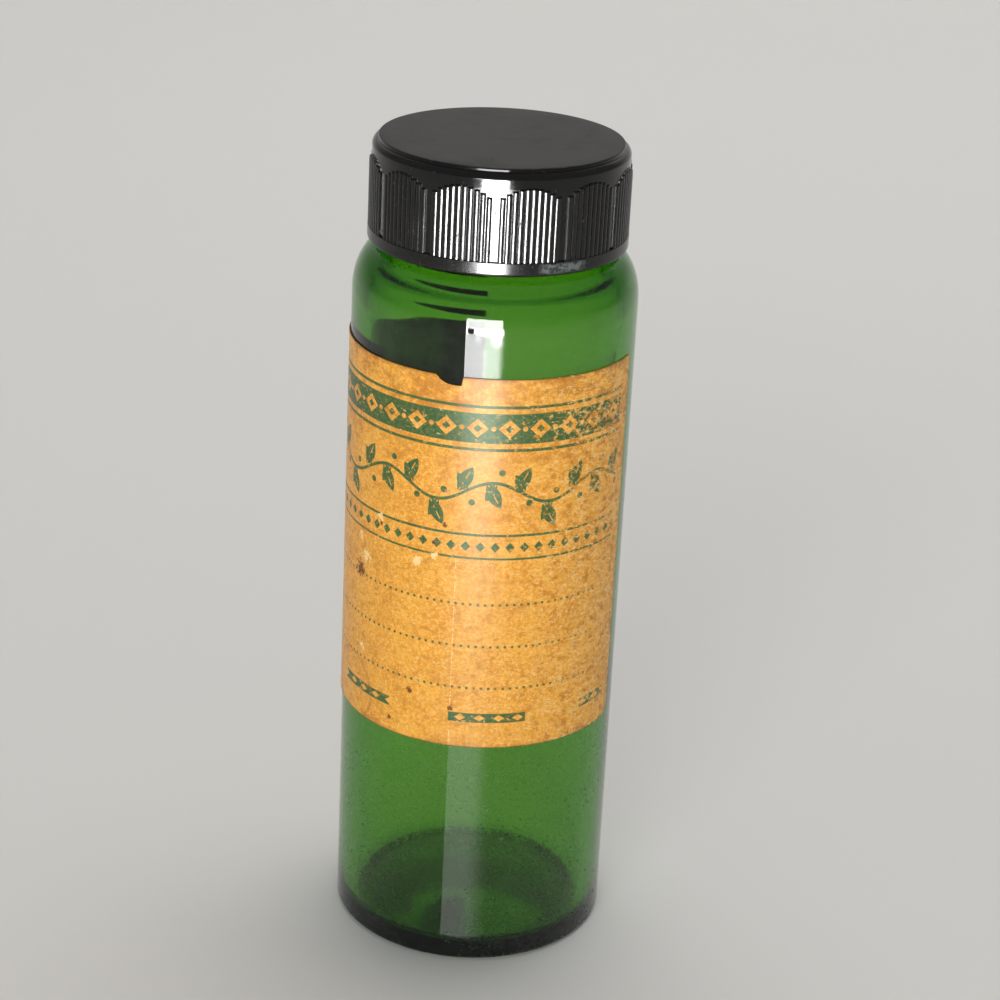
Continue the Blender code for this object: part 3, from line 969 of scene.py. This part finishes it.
class Paper(Surface):
    """The label's paper, on which p runs right from its middle and q up from its lower edge, in mm."""

    def __init__(self):
        super().__init__("label_paper")
        x, y, z = self.split(self.place())
        self.angle = self.math("ARCTAN2", x, -y)
        self.p = self.angle * (LABEL_RADIUS / MM) - LABEL_WIDTH * (LABEL_RIGHT_SHARE - 0.5) / MM
        self.q = z / MM - LABEL_BOTTOM / MM
        self.sheet = self.join(self.p, self.q, 0.0)
        self.mottle = self.noise(self.sheet, 0.22, roughness=0.6)
        self.grain = self.noise(self.sheet, 2.4, roughness=0.65)
        self.torn = self.noise(self.sheet, 2.2, roughness=0.65)
        self.worn_right = self.ramp(self.p, *WORN_RIGHT)
        self.colour = self.mix(self.ramp(self.mottle, 0.3, 0.7), (0.83, 0.335, 0.032), (0.96, 0.45, 0.058))

    def tint(self, share, colour):
        self.colour = self.mix(share, self.colour, colour)

    def grow_fibres(self):
        """The paper's own grain, speckle and fibres, which run two ways."""
        speckle = self.noise(self.sheet, 5.5, detail=3.0, roughness=0.7)
        self.tint(self.ramp(self.grain, 0.44, 0.62) * 0.8, (0.98, 0.60, 0.14))
        self.tint(self.ramp(speckle, 0.52, 0.36) * 0.5, (0.58, 0.20, 0.02))
        along = self.join(self.p * 0.7 + self.q * 0.35, self.q * 3.2 - self.p * 1.4, 0.0)
        across = self.join(self.p * 3.0 + self.q * 1.3, self.q * 0.6 - self.p * 0.3, 3.0)
        along_fibres = self.ramp(self.noise(along, 1.6, detail=2.0, distortion=0.6), 0.60, 0.72)
        across_fibres = self.ramp(self.noise(across, 1.6, detail=2.0, distortion=0.6), 0.62, 0.74)
        fibres = self.greatest(along_fibres, across_fibres)
        self.tint(fibres * (0.25 + 0.55 * self.ramp(self.p, 8.0, 24.0)), (1.0, 0.68, 0.27))
        return fibres

    def stain(self):
        """Brown stains, more of them higher up, and blotches, more of them to the right."""
        stain = self.noise(self.join(self.p, self.q * 1.4, 5.0), 0.3, detail=5.0, roughness=0.7)
        stained = self.ramp(stain, 0.46, 0.62) * (0.18 + 0.42 * self.ramp(self.q, 30.0, 44.0))
        self.tint(stained, (0.50, 0.16, 0.018))
        blotch = self.noise(self.sheet, 0.8, detail=6.0, roughness=0.72)
        self.tint(self.ramp(blotch, 0.49, 0.38) * (0.45 + 0.35 * self.worn_right), (0.55, 0.19, 0.018))
        self.tint(self.ramp(blotch, 0.55, 0.66) * (0.35 + 0.3 * self.worn_right), (1.0, 0.66, 0.19))

    def crease_rub_and_highlight(self):
        """The line where the glass's mould seam shows through as a crease, worn paler by rubbing and with a
        painted highlight along its ridge.
        """
        crease = self.ramp(abs(self.angle - SEAM_ANGLE), 0.9 * SEAM_HALF_WIDTH, 0.2 * SEAM_HALF_WIDTH)
        rub_and_highlight = crease * self.ramp(self.grain, 0.40, 0.56) * self.ramp(self.q, 34.0, 20.0)
        # Paler paper along the seam: partly wear from rubbing, partly a painted highlight of the light the
        # ridge catches
        self.tint(rub_and_highlight * 0.85, (1.0, 0.74, 0.30))
        return crease

    def brown_edges(self):
        half_width = LABEL_WIDTH / MM / 2
        height = LABEL_HEIGHT / MM
        to_edge = self.least(self.p + half_width, half_width - self.p, self.q, height - self.q)
        uneven = to_edge + (self.grain - 0.5) * 1.2 + (self.mottle - 0.5) * 4.0
        self.tint(self.ramp(uneven, 0.7, -0.3) * 0.6, (0.42, 0.15, 0.025))
        self.tint(self.ramp(to_edge, 0.16, 0.04) * 0.8, (0.20, 0.075, 0.02))

    def print_ink(self):
        """The print, a little uneven and flaked off in places."""
        ink = ink_mask(self, self.p + (self.grain - 0.5) * 0.10, self.q + (self.mottle - 0.5) * 0.12)
        flaking = self.noise(self.sheet, 1.3, detail=5.0, roughness=0.7)
        lost = self.ramp(flaking + self.worn_right * 0.10, 0.60, 0.66)
        strength = ink * (1 - lost * 0.85) * (0.80 + 0.2 * self.ramp(self.grain, 0.3, 0.6))
        self.tint(strength, (0.035, 0.125, 0.045))

    def scuff(self):
        rub_place = self.join(self.p * 0.9 + self.q * 0.5, self.q * 1.5, 7.0)
        rub = self.noise(rub_place, 1.5, detail=5.0, roughness=0.72)
        scuffs = self.ramp(rub + self.worn_right * 0.08, 0.60, 0.67)
        self.tint(scuffs * 0.7, (0.97, 0.66, 0.27))
        return scuffs

    def mark(self, marks, raggedness, core_share, colour):
        """Spots with ragged outlines."""
        for mark_p, mark_q, radius in marks:
            distance = self.length(self.p - mark_p, self.q - mark_q)
            distance = distance + (self.torn - 0.5) * (radius * raggedness)
            self.tint(self.ramp(distance, radius, radius * core_share) * 0.9, colour)

    def ring(self):
        """A faint ring, as a wet glass leaves."""
        ring_p, ring_q, radius = RING_STAIN
        off = abs(self.length(self.p - ring_p, self.q - ring_q) - radius) + (self.torn - 0.5) * 0.5
        self.tint(self.ramp(off, 0.38, 0.1) * 0.35, (0.45, 0.16, 0.03))


def paper_material():
    """Aged orange paper with green print, scuffs, stains, brown edges and fibres."""
    paper = Paper()
    fibres = paper.grow_fibres()
    paper.stain()
    crease = paper.crease_rub_and_highlight()
    paper.brown_edges()
    paper.print_ink()
    scuffs = paper.scuff()
    paper.mark(PALE_FLAKES, 4.5, 0.7, (1.0, 0.74, 0.36))
    paper.mark(DARK_SPOTS, 3.2, 0.6, (0.14, 0.035, 0.008))
    paper.ring()
    paper.set(Base_Color=paper.colour, Metallic=0, IOR=1.45, Specular_IOR_Level=0.2)
    paper.set(Roughness=0.31 + (paper.grain - 0.5) * 0.3)
    fine = paper.noise(paper.sheet, 9.0, detail=2.0)
    relief = paper.grain * 0.5 + fibres * 0.5 - scuffs * 0.5 + fine * 0.4 + crease * 0.6
    paper.bump(relief, PAPER_BUMP, 0.8)
    return paper.material


def paper_back_material():
    """The glued side of the paper, painted dark brown as painted shade, for it lies in shade behind the
    glass.
    """
    graph = Surface("label_paper_back_painted_shade")
    place = graph.place()
    back_shade_mottle = graph.noise(place, 220.0, roughness=0.6)
    grain = graph.noise(place, 2400.0, detail=2.0)
    # Painted shade: both dark browns stand in for the shade the back lies in, with a mottle between them
    colour = graph.mix(graph.ramp(back_shade_mottle, 0.35, 0.65), (0.18, 0.085, 0.03), (0.46, 0.25, 0.09))
    graph.set(Base_Color=graph.mix(grain * 0.4, colour, (0.40, 0.22, 0.08)), Roughness=0.8)
    graph.bump(grain, PAPER_BACK_BUMP, 0.5)
    return graph.material


# Plastic: how far under the top its dull, paler shade starts and is full, partly handling wear and partly a
# painted sheen, and the dried grime on the lower band
TOP_SHADE_START = 0.12 * MM
TOP_SHADE_FULL = 0.04 * MM
RIBBED_BLEND = 0.3 * MM
GRIME_ANGLE = radians(30)
GRIME_HALF_ANGLES = (radians(13), radians(8))  # where it starts and is full
GRIME_HEIGHT = 0.9 * MM
GRIME_HALF_HEIGHTS = (0.7 * MM, 0.4 * MM)
GRIME_RAGGEDNESS = 1.2 * MM
PLASTIC_BUMP = 0.006 * MM


def plastic_material():
    """Black moulded plastic: glossy, the top dulled by handling and painted paler as a painted sheen, dust
    in the ribs.
    """
    graph = Surface("black_plastic")
    place = graph.place()
    x, y, z = graph.split(place)
    top = graph.ramp(z, CAP_TOP - TOP_SHADE_START, CAP_TOP - TOP_SHADE_FULL)
    smear_place = graph.join(x * 140, y * 420, z * 100)
    smear = graph.noise(smear_place, 1.0, roughness=0.6, distortion=0.8)
    smears = graph.ramp(smear, 0.56, 0.68)
    haze = graph.noise(place, 260.0)
    dust = graph.ramp(graph.noise(place, 1400.0, detail=3.0), 0.63, 0.72)
    blot = graph.noise(graph.join(x, y * 1.6, 0.0), 330.0, roughness=0.65)
    blots = graph.ramp(blot, 0.47, 0.60) * 0.9 * graph.ramp(graph.noise(place, 90.0, detail=3.0), 0.46, 0.56)
    marks = graph.greatest(smears * 0.5, blots)
    shade = graph.mix(haze, (0.003, 0.003, 0.003), (0.007, 0.0065, 0.006))
    # Painted sheen: the top's paler base colour stands in partly for the light it catches, partly for
    # handling wear
    shade = graph.mix(top * (1 - marks), shade, (0.033, 0.032, 0.030))
    shade = graph.mix(dust * (0.05 + 0.1 * top), shade, (0.28, 0.26, 0.23))
    # Dried grime on the lower band, right of the front
    crust = graph.noise(place, 1500.0, roughness=0.65)
    off_height = abs(z - (RIM_HEIGHT + GRIME_HEIGHT)) + (crust - 0.5) * GRIME_RAGGEDNESS
    off_angle = abs(graph.math("ARCTAN2", x, -y) - GRIME_ANGLE)
    grime = graph.ramp(off_height, *GRIME_HALF_HEIGHTS) * graph.ramp(off_angle, *GRIME_HALF_ANGLES)
    shade = graph.mix(grime * graph.ramp(crust, 0.42, 0.56), shade, (0.10, 0.125, 0.12))
    graph.set(Base_Color=shade, Metallic=0, IOR=1.42)
    rib_top = CAP_TOP - RIB_TOP_DROP
    ribbed = graph.ramp(z, rib_top, rib_top - RIBBED_BLEND)
    side_roughness = 0.09 + graph.ramp(haze, 0.4, 0.7) * 0.08 + ribbed * 0.10
    top_roughness = 0.46 - marks * 0.04 + haze * 0.06
    dashes = graph.ramp(graph.noise(graph.join(x * 2600, y * 2600, z * 5200), 1.0, detail=2.0), 0.62, 0.70)
    roughness = side_roughness + (top_roughness - side_roughness) * top + dust * 0.15
    graph.set(Roughness=roughness + grime * 0.5 + dashes * ribbed * 0.12)
    graph.bump(graph.noise(place, 900.0, detail=3.0), PLASTIC_BUMP, 0.5)
    return graph.material


# Liner materials
WAXED_BUMP = 0.01 * MM
PULP_BUMP = 0.05 * MM


def waxed_material():
    """Cloudy waxed paper, a little darker where the lip presses."""
    graph = Surface("waxed_paper")
    place = graph.place()
    cloud = graph.noise(place, 300.0)
    x, y, _ = graph.split(place)
    off_lip = abs(graph.length(x, y) - (NECK_RADIUS - NECK_WALL / 2))
    pressed = graph.ramp(off_lip, NECK_WALL / 2, NECK_WALL / 3)
    colour = graph.mix(cloud, (0.66, 0.60, 0.46), (0.82, 0.78, 0.66))
    colour = graph.mix(pressed * 0.35, colour, (0.48, 0.36, 0.20))
    graph.set(Base_Color=colour, Roughness=0.34 + cloud * 0.2, IOR=1.45)
    graph.bump(graph.noise(place, 1800.0, detail=2.0), WAXED_BUMP, 0.5)
    return graph.material


def pulpboard_material():
    """Rough grey-brown board with dark flecks."""
    graph = Surface("pulpboard")
    place = graph.place()
    pulp = graph.noise(place, 900.0, detail=5.0, roughness=0.7)
    flecks = graph.ramp(graph.noise(place, 2600.0, detail=2.0), 0.64, 0.72)
    colour = graph.mix(pulp, (0.30, 0.25, 0.17), (0.52, 0.46, 0.35))
    colour = graph.mix(flecks * 0.6, colour, (0.16, 0.12, 0.08))
    graph.set(Base_Color=colour, Roughness=0.9)
    graph.bump(pulp, PULP_BUMP, 0.8)
    return graph.material


# Stage, with sizes in metres
STAGE_BEND = 0.35
STAGE_BACK = 0.9
STAGE_FRONT = -1.6
STAGE_HEIGHT = 1.6
STAGE_HALF_WIDTH = 1.8
STAGE_COLOUR = (0.68, 0.67, 0.642)


def stage_material():
    graph = Surface("pale_stage")
    graph.set(Base_Color=STAGE_COLOUR, Roughness=0.9, Specular_IOR_Level=0)
    return graph.material


def build_stage():
    """A pale floor that sweeps up into a backdrop."""
    bend_centre = (STAGE_BACK - STAGE_BEND, STAGE_BEND)
    profile = [(STAGE_FRONT, 0)]
    profile += arc(bend_centre, STAGE_BEND, -1, 0, steps=16)
    profile += [(STAGE_BACK, STAGE_HEIGHT)]
    verts = []
    for y, z in profile:
        verts += [(-STAGE_HALF_WIDTH, y, z), (STAGE_HALF_WIDTH, y, z)]
    faces = [(2 * i, 2 * i + 1, 2 * i + 3, 2 * i + 2) for i in range(len(profile) - 1)]
    mesh = bpy.data.meshes.new("pale_stage")
    mesh.from_pydata(verts, [], faces)
    mesh.shade_smooth()
    mesh.materials.append(stage_material())
    stage = add_object("pale_stage", mesh)


# Light strip on the floor in front, made of two cards. Lengths are in metres, from the bottle's axis
CARD_LEFT = -0.166
CARD_RIGHT = 0.067
CARD_NEAR = 0.021
CARD_SPLIT = 0.276
CARD_FAR = 0.42
CARD_HEIGHT = 0.3 * MM
STRIP_LEFT_START = 3 * MM
STRIP_RIGHT_START = -1.2 * MM
STRIP_LEFT_SOFTNESS = 0.008
STRIP_RIGHT_SOFTNESS = (0.055, 0.09)  # far away, and what is added close by
STRIP_SOFTER = (0.12, 0.03)  # how far off the right side starts to be softer, and is softest
STRIP_TURN = (0.2, 0.1)  # how far off the left side starts to turn in, and is turned in fully
NEAR_SLOPES = (0.404, 0.046, 0.125)  # of the left side, how much it turns in, and of the right side
NEAR_LEVEL = 1.5
NEAR_RISES = ((3.1, 0.070, 0.150), (10.4, 0.195, 0.213))  # rise in level, where it starts and is full
FAR_SLOPES = (0.25, 0, 0.116)
FAR_LEVEL = 15.0
FAR_RISES = ((170.0, CARD_SPLIT, CARD_SPLIT + 0.012),)

# Lamps and surrounding light
LAMP_TARGET = (0, 0, 0.055)
FRONT_LAMP_TARGET = (0.002, 0, 0.052)
FILL_SPREAD = radians(60)
WORLD_COLOUR = (0.97, 0.98, 1, 1)
WORLD_LEVEL = 0.25


def hide_lamp(piece):
    """Keeps a lamp from being seen itself, also through the glass."""
    piece.visible_camera = False
    piece.visible_transmission = False


def add_card(name, near, far, slopes, level, rises):
    """A soft lamp lying on the floor in front, which the upright sides mirror as a strip."""
    lamp = bpy.data.lights.new(name, "AREA")
    lamp.shape = "RECTANGLE"
    lamp.size = CARD_RIGHT - CARD_LEFT
    lamp.size_y = far - near
    lamp.energy = pi * lamp.size * lamp.size_y
    lamp.use_nodes = True
    graph = Graph(lamp.node_tree)
    x, y, _ = graph.split(graph.node("ShaderNodeNewGeometry", output="Position"))
    away = -y
    left_slope, turn_in, right_slope = slopes
    from_left = x + away * (left_slope - turn_in * graph.ramp(away, *STRIP_TURN)) - STRIP_LEFT_START
    from_right = away * right_slope + STRIP_RIGHT_START - x
    softness = STRIP_RIGHT_SOFTNESS[0] + STRIP_RIGHT_SOFTNESS[1] * graph.ramp(away, *STRIP_SOFTER)
    left_side = graph.ramp(from_left / away, -STRIP_LEFT_SOFTNESS, STRIP_LEFT_SOFTNESS)
    right_side = graph.ramp(from_right / away, -softness, softness)
    for rise, start, full in rises:
        level = level + rise * graph.ramp(away, start, full)
    emission = lamp.node_tree.nodes["Emission"]
    graph.feed(emission.inputs["Strength"], level * (left_side * right_side))
    piece = add_object(name, lamp)
    piece.location = ((CARD_LEFT + CARD_RIGHT) / 2, -(near + far) / 2, CARD_HEIGHT)
    piece.rotation_euler = (pi, 0, 0)
    hide_lamp(piece)
    return piece


def add_lamp(name, azimuth, elevation, distance, size, level, target=LAMP_TARGET):
    """A soft rectangular lamp. The brightness of its face goes by the level, whatever its size."""
    turn = radians(azimuth)
    rise = radians(elevation)
    towards = Vector((sin(turn) * cos(rise), -cos(turn) * cos(rise), sin(rise)))
    lamp = bpy.data.lights.new(name, "AREA")
    lamp.shape = "RECTANGLE"
    lamp.size, lamp.size_y = size
    lamp.energy = level * pi * size[0] * size[1]
    piece = add_object(name, lamp)
    piece.location = Vector(target) + towards * distance
    piece.rotation_mode = "QUATERNION"
    piece.rotation_quaternion = (-towards).to_track_quat("-Z", "Y")
    return piece


def build_lamps():
    add_card("near_card", CARD_NEAR, CARD_SPLIT, NEAR_SLOPES, NEAR_LEVEL, NEAR_RISES)
    far_card = add_card("far_card", CARD_SPLIT, CARD_FAR, FAR_SLOPES, FAR_LEVEL, FAR_RISES)
    far_card.visible_diffuse = False
    front = add_lamp("front", -6.5, 0, CARD_FAR, size=(0.205, 0.104), level=21.0, target=FRONT_LAMP_TARGET)
    hide_lamp(front)
    front.visible_diffuse = False
    # The fill's narrow spread keeps its light off the floor below it, and makes it brighter straight ahead
    fill = add_lamp("fill", azimuth=-14, elevation=22, distance=2.0, size=(1.15, 0.9), level=0.6)
    fill.data.spread = FILL_SPREAD
    hide_lamp(fill)
    fill.visible_glossy = False
    overhead = add_lamp("overhead", azimuth=165, elevation=66, distance=1.2, size=(1.3, 1.0), level=2.5)
    overhead.visible_camera = False
    overhead.visible_glossy = False
    world = bpy.data.worlds.new("studio")
    bpy.context.scene.world = world
    world.use_nodes = True
    background = world.node_tree.nodes["Background"]
    background.inputs["Color"].default_value = WORLD_COLOUR
    background.inputs["Strength"].default_value = WORLD_LEVEL


def build_camera():
    data = bpy.data.cameras.new("photo_camera")
    data.sensor_width = SENSOR_WIDTH
    data.lens = FOCAL_PIXELS / IMAGE_SIDE * SENSOR_WIDTH
    data.clip_start = CLIP_START
    data.clip_end = CLIP_END
    camera = add_object("photo_camera", data)
    forward = Vector((0, cos(CAMERA_PITCH), -sin(CAMERA_PITCH)))
    camera.location = CAMERA_TARGET - forward * CAMERA_DISTANCE
    facing = forward.to_track_quat("-Z", "Y").to_matrix() @ Matrix.Rotation(CAMERA_ROLL, 3, "Z")
    camera.rotation_euler = facing.to_euler()
    bpy.context.scene.camera = camera


build_camera()
build_stage()
build_lamps()
bpy.context.scene.view_settings.view_transform = "Standard"

build_glass()
build_label()
build_cap_thread(build_cap())
build_facing()
build_backing()
